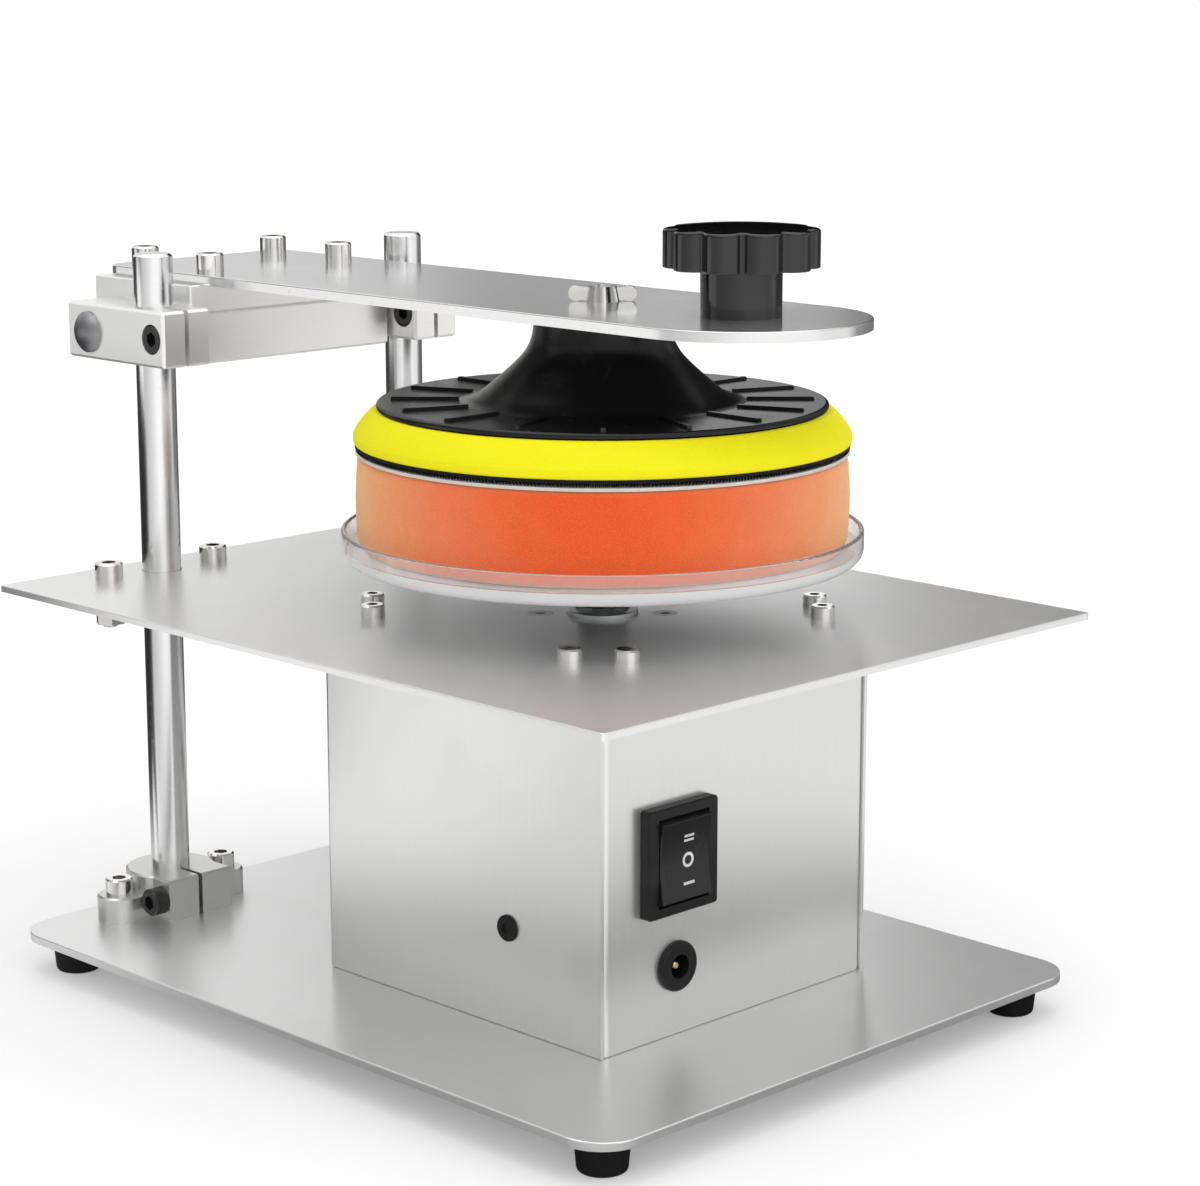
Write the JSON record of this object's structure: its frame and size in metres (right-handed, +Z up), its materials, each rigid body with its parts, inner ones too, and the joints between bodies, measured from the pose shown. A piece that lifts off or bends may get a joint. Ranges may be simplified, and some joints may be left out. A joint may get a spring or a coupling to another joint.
{
  "type": "disc repair machine",
  "caption": "Disc polishing machine: a motor turns a clear platter under a hinged arm that lowers a foam pad, with a rocker switch and a power inlet.",
  "frame": {"origin": "middle of the base plate, on the surface that the four feet stand on", "axes": "+Z up along the spindle, -Y the front with the switch and the inlet, +X the viewer's right when facing the front; the arm's hinge is at +Y"},
  "size_m": [0.2, 0.2865, 0.2366],
  "materials": {
    "sheet_steel": "fine brushed sheet",
    "arm_steel": "brushed plate with polished edges",
    "polished_rod": "ground and polished",
    "cast_alloy": "bead-blasted casting",
    "machined_alloy": "satin",
    "bright_fasteners": "zinc plated",
    "black_screws": "black oxide",
    "pivot_steel": "turned and burnished",
    "black_rubber": "matte",
    "mounting_tape": "foam tape",
    "black_gloss": "glossy moulding",
    "black_moulding": "satin moulding",
    "clear_acrylic": "clear with frosted edges",
    "yellow_foam": "dense closed foam",
    "orange_sponge": "open-cell foam",
    "hook_sheet": "hook tape",
    "loop_sheet": "loop tape",
    "motor_steel": "plated",
    "motor_iron": "dark",
    "contact_brass": "bright"
  },
  "bodies": {
    "machine_frame": {"base_plate": "sheet_steel", "rubber_feet": "black_rubber", "foot_tape": "mounting_tape", "front_panel": "sheet_steel", "housing_wrap": "sheet_steel", "deck_clinch_nuts": "bright_fasteners", "base_clinch_nuts": "bright_fasteners", "deck_screws": "bright_fasteners", "base_screws": "bright_fasteners", "deck_plate": "sheet_steel", "left_post": "polished_rod", "right_post": "polished_rod", "left_base_support": "cast_alloy", "right_base_support": "cast_alloy", "left_deck_support": "cast_alloy", "right_deck_support": "cast_alloy", "support_clamp_screws": "black_screws", "base_support_bolts": "bright_fasteners", "deck_support_bolts": "bright_fasteners", "base_support_nuts": "bright_fasteners", "deck_support_nuts": "bright_fasteners", "motor_bell": "motor_steel", "motor_screws": "bright_fasteners", "motor_can": "motor_steel", "motor_magnets": "motor_iron", "brush_cap": "black_moulding", "motor_terminals": "contact_brass", "switch_body": "black_moulding", "switch_terminals": "contact_brass", "inlet_socket": "black_moulding", "inlet_pin": "contact_brass", "inlet_nut": "contact_brass", "wall_plug": "black_rubber"},
    "platter_rotor": {"motor_shaft": "polished_rod", "armature": "motor_iron", "platter_hub": "black_gloss", "hub_set_screw": "black_screws", "platter": "clear_acrylic", "platter_rim": "clear_acrylic", "platter_screws": "bright_fasteners", "disc_pin": "polished_rod"},
    "switch_rocker": {"rocker": "black_gloss"},
    "height_carriage": {"left_clamp_block": "machined_alloy", "right_clamp_block": "machined_alloy", "block_screws": "black_screws", "pivot_pins": "pivot_steel", "pivot_washers": "bright_fasteners"},
    "pad_arm": {"hinge_bar": "machined_alloy", "arm_riser": "machined_alloy", "arm_plate": "arm_steel", "arm_bolts": "bright_fasteners", "knob": "black_gloss", "knob_screw": "black_screws", "backing_pad": "black_gloss", "pad_stud": "polished_rod", "wing_nut": "bright_fasteners", "yellow_foam": "yellow_foam", "hook_layer": "hook_sheet", "loop_layer": "loop_sheet", "sponge_pad": "orange_sponge"}
  },
  "joints": [
    {"name": "platter_spin", "type": "hinge", "parent": "machine_frame", "child": "platter_rotor", "pos_m": [0, -0.029, 0.1382], "axis": [0, 0, 1], "continuous": true},
    {"name": "switch_rock", "type": "hinge", "parent": "machine_frame", "child": "switch_rocker", "pos_m": [-0.026, -0.083, 0.065], "axis": [1, 0, 0], "range_deg": [-10, 10]},
    {"name": "arm_height", "type": "slide", "parent": "machine_frame", "child": "height_carriage", "axis": [0, 0, 1], "range_m": [0, 0.012]},
    {"name": "arm_lift", "type": "hinge", "parent": "height_carriage", "child": "pad_arm", "pos_m": [0, 0.135, 0.194], "axis": [-1, 0, 0], "range_deg": [0, 90]}
  ]
}
